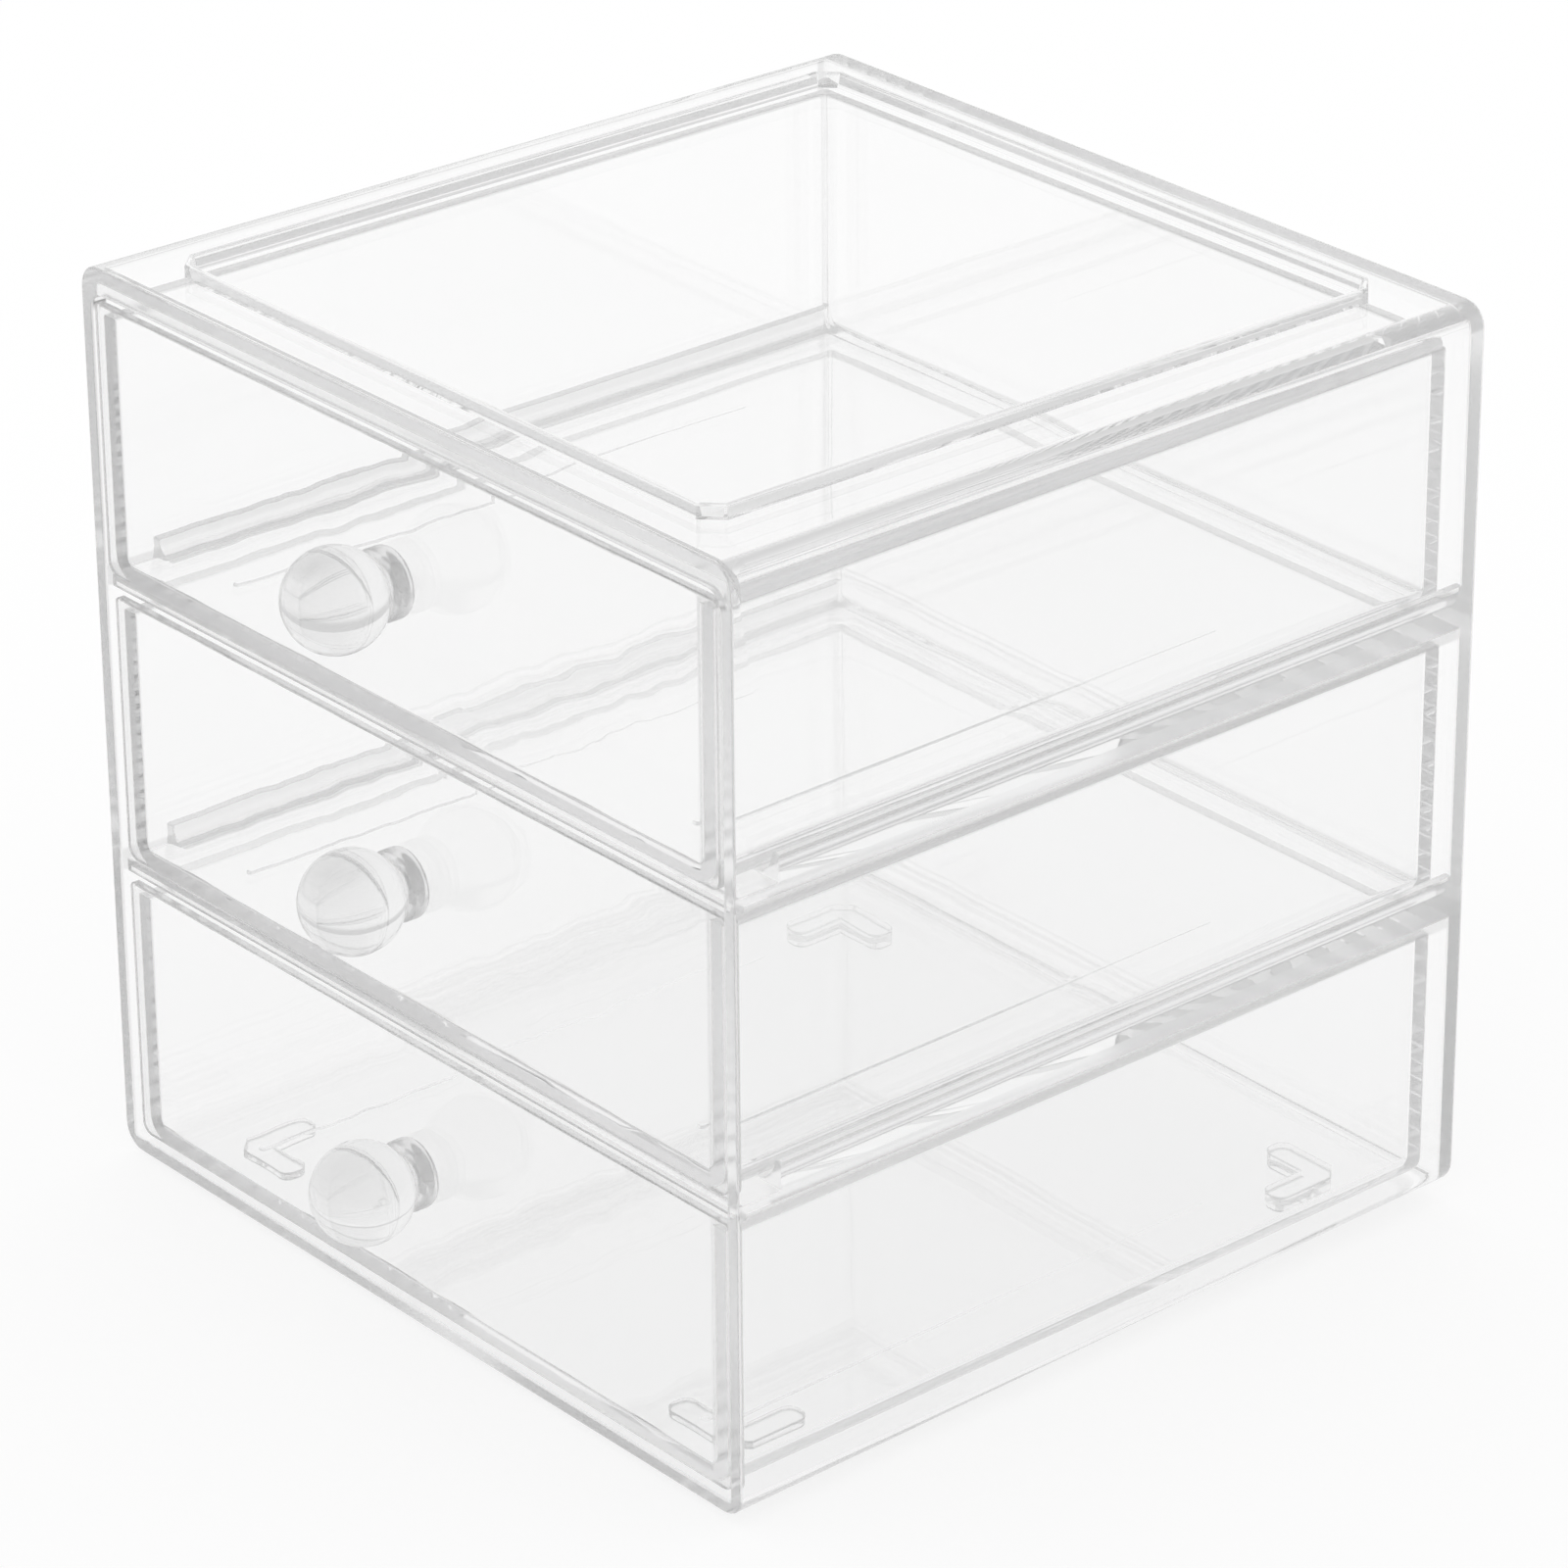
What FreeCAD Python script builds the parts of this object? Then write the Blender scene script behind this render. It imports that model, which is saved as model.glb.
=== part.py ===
import FreeCAD, Part
import math
import os
from FreeCAD import Vector

# A clear moulded cube with three pull-out drawers.
# Driving dimensions are in millimetres. While a piece is made, x runs across, y runs back
# from the front plane of the case and z runs up from the front edge of its underside.

# Case, outside
CASE_WIDTH = 178.0
CASE_HEIGHT = 176.3
CASE_DEPTH = 172.2
CASE_CORNER_RADIUS = 4.7
SIDE_DRAFT = 1.7
TOP_DRAFT = 0.8
BOTTOM_DRAFT = 2.0

# Case, inside: three equal bays, one above another
SIDE_WALL = 2.9
SIDE_WALL_AT_BACK = 2.3
BACK_WALL = 2.4
FIRST_FLOOR = 2.7
BAY_PITCH = 57.05
BAY_COUNT = 3
SHELF_THICKNESS = 1.8
SHELF_RECESS = 1.5
TOP_CEILING = 172.8
FLOOR_RISE = 0.65
BAY_CORNER_RADIUS = 0.6
OUTER_CORNER_RADIUS = 0.8

# A lip hangs along the front of the lid and of each shelf, so that all three mouths are equal
MOUTH_HEIGHT = 54.35
MOUTH_CORNER_RADIUS = 3.5
LIP_BACK = 3.2

# Ledges along the upper two bays' lower sides, hollowed to follow the drawers' rounded sides
LEDGE_START = 10.7
LEDGE_WIDTH = 1.9
LEDGE_HEIGHT = 5.1
COVE_RADIUS = 5.0

# Runner ribs that each drawer slides on
RIB_X = 63.9
RIB_WIDTH = 2.1
RIB_HEIGHT = 0.55
RIB_TOP_RADIUS = 0.5
RIB_FRONT = 13.3
RIB_BACK = 130.0
RIB_CONVERGENCE = 1.6

# Stacking rim on the lid, upright outside and drafted inside
RIM_HALF_WIDTH = 73.35
RIM_FRONT = 8.85
RIM_BACK = 160.45
RIM_HEIGHT = 2.66
RIM_THICKNESS = 1.95
RIM_THICKNESS_AT_TOP = 1.15
RIM_CORNER = 3.6

# Feet, glued under the case and placed to drop inside the rim of the cube below
FOOT_HALF_SPAN = 70.65
FOOT_FRONT = 12.45
FOOT_BACK = 157.5
FOOT_HEIGHT = 1.8
FOOT_ARM = 16.0
FOOT_WIDTH = 5.4
FOOT_CORNER = 3.0
FOOT_END_RADIUS = 2.2

# Drawers
DRAWER_LIFT = 0.72
PANEL_WIDTH = 170.6
PANEL_HEIGHT = 52.1
PANEL_THICKNESS = 1.8
PANEL_LOWER_RADIUS = 2.5
PANEL_UPPER_RADIUS = 1.0
TRAY_FRONT_WIDTH = 167.0
TRAY_BACK_WIDTH = 164.0
TRAY_DEPTH = 167.0
TRAY_HEIGHT = 50.1
TRAY_WALL = 3.1
TRAY_WALL_AT_BACK = 2.4
TRAY_FLOOR = 2.4
TRAY_LOWER_RADIUS = 4.4
TRAY_BACK_RADIUS = 2.0
HOLLOW_LOWER_RADIUS = 2.6
HOLLOW_FRONT_RADIUS = 0.8
HOLLOW_BACK_RADIUS = 1.6
DRAWER_INSET = {"top": 0.0, "middle": 1.1, "bottom": 1.1}

# Knobs
KNOB_RADIUS = 9.5
KNOB_REACH = 12.45
KNOB_LIFT = 27.2
COLLAR_RADIUS = 6.6
COLLAR_LENGTH = 4.6
COLLAR_EDGE_RADIUS = 1.3
SPIGOT_RADIUS = 3.0

# Where the pieces go in the finished frame: +Z is up, the front faces -Y, and the origin is
# on the surface that the feet stand on, under the middle of the whole object.
KNOB_TIP = KNOB_REACH + KNOB_RADIUS
FRONT_PLANE_Y = KNOB_TIP - (CASE_DEPTH + KNOB_TIP) / 2.0
PLACE = Vector(0, FRONT_PLANE_Y, FOOT_HEIGHT)

Y_AXIS = Vector(0, 1, 0)
Z_AXIS = Vector(0, 0, 1)
OVERCUT = 2.0
TINY = 1e-4


def edges_where(shape, test):
    return [edge for edge in shape.Edges if test([vertex.Point for vertex in edge.Vertexes])]


def long_edges(block, level):
    """The two long edges of a block that lie on a sloping level, given as a function of y."""
    def on_level(points):
        runs_back = abs(points[0].y - points[-1].y) > TINY
        return runs_back and all(abs(p.z - level(p.y)) < TINY for p in points)

    return edges_where(block, on_level)


def tapered_block(half, floor, ceiling, front, back, low_radius, high_radius):
    """A block whose half width, floor and ceiling change evenly with y, with rounded long edges."""
    block = Part.makeWedge(
        -half(front), front, floor(front), floor(back), -half(back),
        half(front), back, ceiling(front), ceiling(back), half(back),
    )
    for radius, level in ((low_radius, floor), (high_radius, ceiling)):
        if radius:
            block = block.makeFillet(radius, long_edges(block, level))
    return block


def lean(at_front, at_back, y):
    """A size that changes evenly from the front plane to the back of the case."""
    return at_front + (at_back - at_front) * y / CASE_DEPTH


def outside_half(y):
    return lean(CASE_WIDTH / 2.0, CASE_WIDTH / 2.0 - SIDE_DRAFT, y)


def underside(y):
    return lean(0.0, BOTTOM_DRAFT, y)


def lid(y):
    return lean(CASE_HEIGHT, CASE_HEIGHT - TOP_DRAFT, y)


def bay_half(y):
    return outside_half(y) - lean(SIDE_WALL, SIDE_WALL_AT_BACK, y)


def bay_floor(level, y=0.0):
    return FIRST_FLOOR + level * BAY_PITCH + lean(0.0, FLOOR_RISE, y)


def bay_ceiling(level, y=0.0):
    at_front = TOP_CEILING
    if level < BAY_COUNT - 1:
        at_front = bay_floor(level + 1) - SHELF_THICKNESS
    return at_front - lean(0.0, FLOOR_RISE, y)


def mouth_top(level, y=0.0):
    return bay_floor(level) + MOUTH_HEIGHT - lean(0.0, FLOOR_RISE, y)


def ledge_half(y):
    return bay_half(y) - LEDGE_WIDTH


def case_outside():
    return tapered_block(
        outside_half, underside, lid, 0.0, CASE_DEPTH, CASE_CORNER_RADIUS, CASE_CORNER_RADIUS
    )


def bay(level):
    """The room for one drawer: its mouth inside the lip, the room behind, and any ledges."""
    def floor(y):
        return bay_floor(level, y)

    def ceiling(y):
        return bay_ceiling(level, y)

    def top_of_mouth(y):
        return mouth_top(level, y)

    def ledge_top(y):
        return bay_floor(level, y) + LEDGE_HEIGHT

    is_top = level == BAY_COUNT - 1
    upper = OUTER_CORNER_RADIUS if is_top else BAY_CORNER_RADIUS
    lower = BAY_CORNER_RADIUS if level else OUTER_CORNER_RADIUS
    at_mouth = MOUTH_CORNER_RADIUS if is_top else BAY_CORNER_RADIUS
    back = CASE_DEPTH - BACK_WALL
    mouth_back = LIP_BACK + OVERCUT
    mouth = tapered_block(bay_half, floor, top_of_mouth, -OVERCUT, mouth_back, lower, at_mouth)
    if level == 0:
        return mouth.fuse(tapered_block(bay_half, floor, ceiling, LIP_BACK, back, lower, upper))
    between = tapered_block(bay_half, floor, ceiling, LIP_BACK, LEDGE_START, lower, upper)
    above = tapered_block(bay_half, ledge_top, ceiling, LEDGE_START - OVERCUT, back, 0.0, upper)
    within = tapered_block(
        ledge_half, floor, ceiling, LEDGE_START - OVERCUT, back, COVE_RADIUS, 0.0
    )
    return mouth.fuse([between, above, within])


def mouth_recess():
    """The shallow step that sets the shelves' front edges back from the case's front plane."""
    def ceiling(y):
        return mouth_top(BAY_COUNT - 1, y)

    def floor(y):
        return bay_floor(0, y)

    return tapered_block(
        bay_half, floor, ceiling, -OVERCUT, SHELF_RECESS, OUTER_CORNER_RADIUS, MOUTH_CORNER_RADIUS
    )


def slot_plan(x, front, back, width, z):
    """A long plan outline with half-round ends."""
    half = width / 2.0
    left_front = Vector(x - half, front + half, z)
    right_front = Vector(x + half, front + half, z)
    right_back = Vector(x + half, back - half, z)
    left_back = Vector(x - half, back - half, z)
    edges = [
        Part.Arc(left_front, Vector(x, front, z), right_front).toShape(),
        Part.LineSegment(right_front, right_back).toShape(),
        Part.Arc(right_back, Vector(x, back, z), left_back).toShape(),
        Part.LineSegment(left_back, left_front).toShape(),
    ]
    return Part.Face(Part.Wire(edges))


def ribs(level):
    """Two low rails with rounded tops, which draw together towards the back as the drawer does.

    They stay level while the floor rises to meet them.
    """
    foot = bay_floor(level) - RIB_HEIGHT
    top = bay_floor(level) + RIB_HEIGHT
    turn = math.degrees(math.atan2(RIB_CONVERGENCE, RIB_BACK - RIB_FRONT))
    made = []
    for side in (-1, 1):
        x = side * RIB_X
        rib = slot_plan(x, RIB_FRONT, RIB_BACK, RIB_WIDTH, foot).extrude(Z_AXIS * (top - foot))
        rim = edges_where(rib, lambda points: all(abs(p.z - top) < TINY for p in points))
        rib = rib.makeFillet(RIB_TOP_RADIUS, rim)
        rib.rotate(Vector(x, RIB_FRONT, 0), Z_AXIS, side * turn)
        made.append(rib)
    return made


def rim_loop(inset, height):
    """The rim's outline, drawn in by an inset, at a height above the lid that it follows."""
    half_width = RIM_HALF_WIDTH - inset
    front = RIM_FRONT + inset
    back = RIM_BACK - inset
    corner = RIM_CORNER - inset * (2.0 - math.sqrt(2.0))
    outline = [
        (-half_width + corner, front),
        (half_width - corner, front),
        (half_width, front + corner),
        (half_width, back - corner),
        (half_width - corner, back),
        (-half_width + corner, back),
        (-half_width, back - corner),
        (-half_width, front + corner),
    ]
    return [Vector(x, y, lid(y) + height) for x, y in outline]


def flat_face(points):
    return Part.Face(Part.makePolygon(points + points[:1]))


def block_between(low_loop, high_loop):
    """A flat-sided block between two loops whose sides run parallel."""
    faces = [flat_face(low_loop), flat_face(high_loop)]
    for index in range(len(low_loop)):
        after = (index + 1) % len(low_loop)
        faces.append(
            flat_face([low_loop[index], low_loop[after], high_loop[after], high_loop[index]])
        )
    return Part.Solid(Part.Shell(faces))


def rim_thickness(height):
    return RIM_THICKNESS + (RIM_THICKNESS_AT_TOP - RIM_THICKNESS) * height / RIM_HEIGHT


def stacking_rim():
    """A low frame on the lid, rooted a little below its surface."""
    root = -OVERCUT / 2.0
    above = RIM_HEIGHT + OVERCUT / 2.0
    outer = block_between(rim_loop(0.0, root), rim_loop(0.0, RIM_HEIGHT))
    inner = block_between(
        rim_loop(rim_thickness(-OVERCUT), -OVERCUT), rim_loop(rim_thickness(above), above)
    )
    return outer.cut(inner)


def make_case():
    body = case_outside()
    for level in range(BAY_COUNT):
        body = body.cut(bay(level))
    body = body.cut(mouth_recess())
    for level in range(BAY_COUNT):
        body = body.fuse(ribs(level))
    body = body.fuse(stacking_rim())
    return body.removeSplitter()


def foot_plan(side, end, z):
    """An L in plan: its corner points outwards, and side and end are -1 or 1."""
    corner_y = FOOT_FRONT if end < 0 else FOOT_BACK
    outline = [
        (0.0, FOOT_CORNER),
        (FOOT_CORNER, 0.0),
        (FOOT_ARM, 0.0),
        (FOOT_ARM, FOOT_WIDTH),
        (FOOT_WIDTH, FOOT_WIDTH),
        (FOOT_WIDTH, FOOT_ARM),
        (0.0, FOOT_ARM),
    ]
    loop = [Vector(side * (FOOT_HALF_SPAN - a), corner_y - end * b, z) for a, b in outline]
    return flat_face(loop), loop[2:4] + loop[5:7]


def make_foot(side, end):
    plan, round_points = foot_plan(side, end, -FOOT_HEIGHT)
    block = plan.extrude(Z_AXIS * (FOOT_HEIGHT + BOTTOM_DRAFT + OVERCUT))

    def upright_at_arm_end(points):
        start = points[0]
        standing = abs(start.z - points[-1].z) > OVERCUT
        return standing and any(math.hypot(start.x - p.x, start.y - p.y) < TINY for p in round_points)

    block = block.makeFillet(FOOT_END_RADIUS, edges_where(block, upright_at_arm_end))
    return block.cut(case_outside())


def tray_block(front_width, back_width, front, back, floor, top, low_radius, end_radii):
    """A block that narrows towards the back, rounded along its lower sides and round its ends."""
    front_half = front_width / 2.0
    back_half = back_width / 2.0
    corners = [(-front_half, front), (front_half, front), (back_half, back), (-back_half, back)]
    block = flat_face([Vector(x, y, floor) for x, y in corners]).extrude(Z_AXIS * (top - floor))

    def lower_side(points):
        return all(abs(p.z - floor) < TINY for p in points) and abs(points[0].y - points[-1].y) > TINY

    block = block.makeFillet(low_radius, edges_where(block, lower_side))
    for end, radius in end_radii:
        def round_end(points):
            at_end = all(abs(p.y - end) < TINY for p in points)
            return at_end and any(p.z < top - TINY for p in points)

        block = block.makeFillet(radius, edges_where(block, round_end))
    return block


def drawer_bottom(level):
    return bay_floor(level) + DRAWER_LIFT


def make_drawer(level, inset):
    half = PANEL_WIDTH / 2.0
    panel = tapered_block(
        lambda y: half,
        lambda y: 0.0,
        lambda y: PANEL_HEIGHT,
        0.0,
        PANEL_THICKNESS,
        PANEL_LOWER_RADIUS,
        PANEL_UPPER_RADIUS,
    )
    tray = tray_block(
        TRAY_FRONT_WIDTH,
        TRAY_BACK_WIDTH,
        PANEL_THICKNESS / 2.0,
        TRAY_DEPTH,
        0.0,
        TRAY_HEIGHT,
        TRAY_LOWER_RADIUS,
        [(TRAY_DEPTH, TRAY_BACK_RADIUS)],
    )
    hollow_back = TRAY_DEPTH - TRAY_WALL_AT_BACK
    hollow = tray_block(
        TRAY_FRONT_WIDTH - 2.0 * TRAY_WALL,
        TRAY_BACK_WIDTH - 2.0 * TRAY_WALL_AT_BACK,
        PANEL_THICKNESS,
        hollow_back,
        TRAY_FLOOR,
        PANEL_HEIGHT + OVERCUT,
        HOLLOW_LOWER_RADIUS,
        [(PANEL_THICKNESS, HOLLOW_FRONT_RADIUS), (hollow_back, HOLLOW_BACK_RADIUS)],
    )
    drawer = panel.fuse(tray).cut(hollow).removeSplitter()
    hole = Part.makeCylinder(
        SPIGOT_RADIUS, PANEL_THICKNESS + OVERCUT, Vector(0, -OVERCUT / 2.0, KNOB_LIFT), Y_AXIS
    )
    drawer = drawer.cut(hole)
    drawer.translate(Vector(0, inset, drawer_bottom(level)))
    return drawer


def make_knob(level, inset):
    """A ball on a short round-edged collar, with a spigot glued into the panel's hole."""
    ball = Part.makeSphere(KNOB_RADIUS, Vector(0, -KNOB_REACH, 0))
    collar = Part.makeCylinder(COLLAR_RADIUS, COLLAR_LENGTH, Vector(0, -COLLAR_LENGTH, 0), Y_AXIS)
    rims = [edge for edge in collar.Edges if edge.Curve.TypeId == "Part::GeomCircle"]
    collar = collar.makeFillet(COLLAR_EDGE_RADIUS, rims)
    spigot = Part.makeCylinder(
        SPIGOT_RADIUS, PANEL_THICKNESS + COLLAR_LENGTH / 2.0, Vector(0, -COLLAR_LENGTH / 2.0, 0), Y_AXIS
    )
    knob = ball.fuse([collar, spigot]).removeSplitter()
    knob.translate(Vector(0, inset, drawer_bottom(level) + KNOB_LIFT))
    return knob


def write(name, shape):
    placed = shape.copy()
    placed.translate(PLACE)
    assert placed.isValid(), name
    assert len(placed.Solids) == 1, name
    placed.exportStep("parts/" + name + ".step")
    box = placed.BoundBox
    print(name, round(placed.Volume / 1000.0, 2), "cm3", box)


def main():
    os.makedirs("parts", exist_ok=True)
    write("case", make_case())
    for level, place in enumerate(("bottom", "middle", "top")):
        inset = DRAWER_INSET[place]
        write("drawer_" + place, make_drawer(level, inset))
        write("knob_" + place, make_knob(level, inset))
    for end, end_name in ((-1, "front"), (1, "back")):
        for side, side_name in ((-1, "left"), (1, "right")):
            write("foot_" + end_name + "_" + side_name, make_foot(side, end))


main()
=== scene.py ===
import math

import bmesh
import bpy
from mathutils import Matrix, Vector


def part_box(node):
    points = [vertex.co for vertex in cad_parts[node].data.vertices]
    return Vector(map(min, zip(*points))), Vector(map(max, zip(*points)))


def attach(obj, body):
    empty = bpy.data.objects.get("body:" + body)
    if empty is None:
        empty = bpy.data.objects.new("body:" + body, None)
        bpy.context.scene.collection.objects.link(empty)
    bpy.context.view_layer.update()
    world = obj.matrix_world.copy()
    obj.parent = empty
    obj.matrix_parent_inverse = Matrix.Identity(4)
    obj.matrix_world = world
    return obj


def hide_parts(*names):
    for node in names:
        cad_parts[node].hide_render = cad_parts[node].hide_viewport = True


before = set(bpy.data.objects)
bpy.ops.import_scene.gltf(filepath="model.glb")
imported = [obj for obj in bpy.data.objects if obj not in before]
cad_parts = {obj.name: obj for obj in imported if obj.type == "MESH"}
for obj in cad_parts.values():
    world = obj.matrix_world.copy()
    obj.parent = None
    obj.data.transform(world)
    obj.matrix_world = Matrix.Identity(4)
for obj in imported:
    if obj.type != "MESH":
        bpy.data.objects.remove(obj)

bl_info = {
    "name": "Clear drawer cube",
    "version": (1, 0, 0),
    "blender": (4, 5, 0),
    "location": "View3D > Sidebar > Drawer cube",
    "description": "Builds a clear moulded cube of three drawers and lights it on a white studio floor",
    "category": "Object",
}

MM = 0.001

# ---------------------------------------------------------------- sizes, in millimetres
# x runs across, y back from the case's front plane, z up from the front edge of its underside.

CASE_WIDTH = 178.0
CASE_HEIGHT = 176.3
CASE_DEPTH = 172.2
CASE_CORNER_RADIUS = 4.7
SIDE_DRAFT = 1.7
TOP_DRAFT = 0.8
BOTTOM_DRAFT = 2.0
SIDE_WALL = 2.9
SIDE_WALL_AT_BACK = 2.3
BACK_WALL = 2.4
FIRST_FLOOR = 2.7
BAY_PITCH = 57.05
SHELF_THICKNESS = 1.8
SHELF_RECESS = 1.5
TOP_CEILING = 172.8
FLOOR_RISE = 0.65
CAVITY_CORNER_RADIUS = 0.8
MOUTH_HEIGHT = 54.35
MOUTH_CORNER_RADIUS = 3.5
LIP_BACK = 3.2
LEDGE_START = 10.7
LEDGE_WIDTH = 1.9
LEDGE_HEIGHT = 5.1
COVE_RADIUS = 5.0

RIB_X = 63.9
RIB_WIDTH = 2.1
RIB_HEIGHT = 0.55
RIB_TOP_RADIUS = 0.5
RIB_FRONT = 13.3
RIB_BACK = 130.0
RIB_CONVERGENCE = 1.6

RIM_HALF_WIDTH = 73.35
RIM_FRONT = 8.85
RIM_BACK = 160.45
RIM_HEIGHT = 2.66
RIM_THICKNESS = 1.95
RIM_THICKNESS_AT_TOP = 1.15
RIM_CORNER = 3.6

FOOT_HALF_SPAN = 70.65
FOOT_FRONT = 12.45
FOOT_BACK = 157.5
FOOT_ARM = 16.0
FOOT_WIDTH = 5.4
FOOT_CORNER = 3.0
FOOT_END_RADIUS = 2.2
FOOT_EDGE_RADIUS = 0.6
FOOT_JOINT = 0.5

DRAWER_LIFT = 0.72
DRAWER_INSET = {"top": 0.0, "middle": 1.1, "bottom": 1.1}
PANEL_WIDTH = 170.6
PANEL_HEIGHT = 52.1
PANEL_THICKNESS = 1.8
PANEL_LOWER_RADIUS = 2.5
PANEL_UPPER_RADIUS = 1.0
TRAY_FRONT_WIDTH = 167.0
TRAY_BACK_WIDTH = 164.0
TRAY_DEPTH = 167.0
TRAY_HEIGHT = 50.1
TRAY_WALL = 3.1
TRAY_WALL_AT_BACK = 2.4
TRAY_FLOOR = 2.4
# The part of the panel with no tray wall behind it.
PANEL_CLEAR_HALF = TRAY_FRONT_WIDTH / 2.0 - TRAY_WALL
TRAY_LOWER_RADIUS = 4.4
TRAY_BACK_RADIUS = 2.0
HOLLOW_LOWER_RADIUS = 2.6
HOLLOW_FRONT_RADIUS = 0.8
HOLLOW_BACK_RADIUS = 1.6
HOLLOW_CORNER_RADIUS = 1.0

KNOB_RADIUS = 9.5
KNOB_REACH = 12.45
KNOB_LIFT = 27.2
COLLAR_RADIUS = 6.6
COLLAR_LENGTH = 4.6
COLLAR_EDGE_RADIUS = 1.3
SPIGOT_RADIUS = 3.0

# Glued and resting faces keep a film of air between them.
AIR_FILM = 0.03
# Tools and joined pieces reach a little past the faces that they meet.
OVERCUT = 2.0
ROOT = 0.5
# Lengths of the flow waves, long on broad faces and short on small ones.
CASE_WAVE_LENGTH = 40.0
TRAY_WAVE_LENGTH = 30.0
PANEL_WAVE_LENGTH = 16.0
KNOB_WAVE_LENGTH = 7.0
SMALL_WAVE_LENGTH = 8.0
# Parts of a normal: beyond the first a face is flat on, below the second it stands on edge.
FLAT_ON = 0.95
ON_EDGE = 0.1
PANEL_FLAT_ON = 0.97
# How far past a shelf or the back wall the outer walls still show its blurred edge.
JOINT_MARGIN = 1.2
# Steps in a broad arc, in a small edge, round a turned piece and over a ball.
ARC_STEPS = 8
EDGE_STEPS = 4
TURN_STEPS = 96
BALL_STEPS = 40
# The ball's mesh starts this many degrees from its pole, and ends there in a tiny cap.
POLE_ANGLE = 2.0
POLE_RADIUS = 0.05
# Faces that meet at more than this angle keep a sharp edge between them.
SHARP_FROM = math.radians(40.0)

FRONT_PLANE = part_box("case")[0][1]
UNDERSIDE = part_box("case")[0][2]
FOOT_HEIGHT = UNDERSIDE / MM

CABINET = "cabinet"
PLACES = ("bottom", "middle", "top")
TOP_LEVEL = len(PLACES) - 1

# Camera: a long lens over the right front corner of the cube.
CAMERA_PLACE = Vector((0.86406, -0.720155, 0.62706))
CAMERA_AZIMUTH = math.radians(49.770)
CAMERA_ELEVATION = math.radians(25.7575)
CAMERA_ROLL = math.radians(-0.4221)
CAMERA_LENS = 160.16
CAMERA_SENSOR = 36.0

# A ray may cross dozens of walls and run the length of an edge before it leaves the plastic.
LIGHT_BOUNCES = 160


# ---------------------------------------------------------------- settings

class EdgeSettings(bpy.types.PropertyGroup):
    """How round the moulded edges are."""

    edge: bpy.props.FloatProperty(
        name="Edge radius",
        description="Radius of the edges round the mouth, the shelves and the drawers",
        default=0.4 * MM,
        min=0.1 * MM,
        max=0.7 * MM,
        unit="LENGTH",
    )
    back: bpy.props.FloatProperty(
        name="Back edge radius",
        description="Radius of the case's outer back edges",
        default=1.2 * MM,
        min=0.1 * MM,
        max=4.0 * MM,
        unit="LENGTH",
    )


class ClearPlasticSettings(bpy.types.PropertyGroup):
    """What the clear plastic of the cube looks like."""

    # Painted shade: a faint grey over all of the plastic, which darkens every face a little.
    painted_shade_tint: bpy.props.StringProperty(
        name="Tint", description="Colour of the plastic's surface, as RRGGBB", default="FEFEFE"
    )
    # Painted shade: a mid grey that darkens the feet's dulled edges.
    foot_edge_painted_shade: bpy.props.StringProperty(
        name="Foot edge tint",
        description="Colour of the feet's dulled edges, as RRGGBB",
        default="B8B8B8",
    )
    # Painted shade: a faint grey that darkens the knobs' collars.
    collar_painted_shade: bpy.props.StringProperty(
        name="Collar tint",
        description="Colour of the knobs' dulled collars, as RRGGBB",
        default="F8F8F8",
    )
    # Painted shade: a grey that darkens the knobs' balls, a little more than their collars.
    knob_painted_shade: bpy.props.StringProperty(
        name="Knob tint", description="Colour of the knobs' surface, as RRGGBB", default="F4F4F4"
    )
    polish: bpy.props.FloatProperty(
        name="Roughness",
        description="Roughness of the mould-polished faces",
        default=0.0,
        min=0.0,
        max=1.0,
    )
    edge_polish: bpy.props.FloatProperty(
        name="Edge roughness",
        description="Roughness of the narrow edge faces and the collars",
        default=0.2,
        min=0.0,
        max=1.0,
    )
    foot_polish: bpy.props.FloatProperty(
        name="Foot edge roughness",
        description="Roughness of the feet's dulled edges",
        default=0.3,
        min=0.0,
        max=1.0,
    )
    absorption: bpy.props.FloatProperty(
        name="Absorption", description="Light lost per metre inside the plastic", default=0.25, min=0.0
    )
    case_wave: bpy.props.FloatProperty(
        name="Case waviness",
        description="Height of the case's flow waves",
        default=0.05 * MM,
        unit="LENGTH",
    )
    tray_wave: bpy.props.FloatProperty(
        name="Tray waviness",
        description="Height of the trays' flow waves",
        default=0.06 * MM,
        unit="LENGTH",
    )
    panel_wave: bpy.props.FloatProperty(
        name="Panel waviness",
        description="Height of the front panels' waves",
        default=0.25 * MM,
        unit="LENGTH",
    )
    knob_wave: bpy.props.FloatProperty(
        name="Knob waviness",
        description="Height of the waves on the knobs' balls",
        default=0.06 * MM,
        unit="LENGTH",
    )
    small_wave: bpy.props.FloatProperty(
        name="Small waviness",
        description="Height of the waves on the collars and feet",
        default=0.02 * MM,
        unit="LENGTH",
    )


class StudioSettings(bpy.types.PropertyGroup):
    """The white studio around the cube."""

    surround: bpy.props.FloatProperty(
        name="Surround",
        description="Brightness of the room away from the white backdrop",
        default=0.68,
        min=0.0,
    )
    near: bpy.props.FloatProperty(
        name="White within",
        description="How far the white sheet reaches",
        default=0.6,
        unit="LENGTH",
    )
    far: bpy.props.FloatProperty(
        name="Grey beyond",
        description="Where the room's grey floor takes over",
        default=1.2,
        unit="LENGTH",
    )


# ---------------------------------------------------------------- mesh building

def to_frame(point):
    """A place in millimetres on the object, in metres in the frame."""
    x, y, z = point
    return Vector((x * MM, FRONT_PLANE + y * MM, UNDERSIDE + z * MM))


def arc(radius, steps, start=0.0, end=90.0):
    """Points of a circular arc about the origin."""
    for step in range(steps + 1):
        angle = math.radians(start + (end - start) * step / steps)
        yield radius * math.cos(angle), radius * math.sin(angle)


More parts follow.
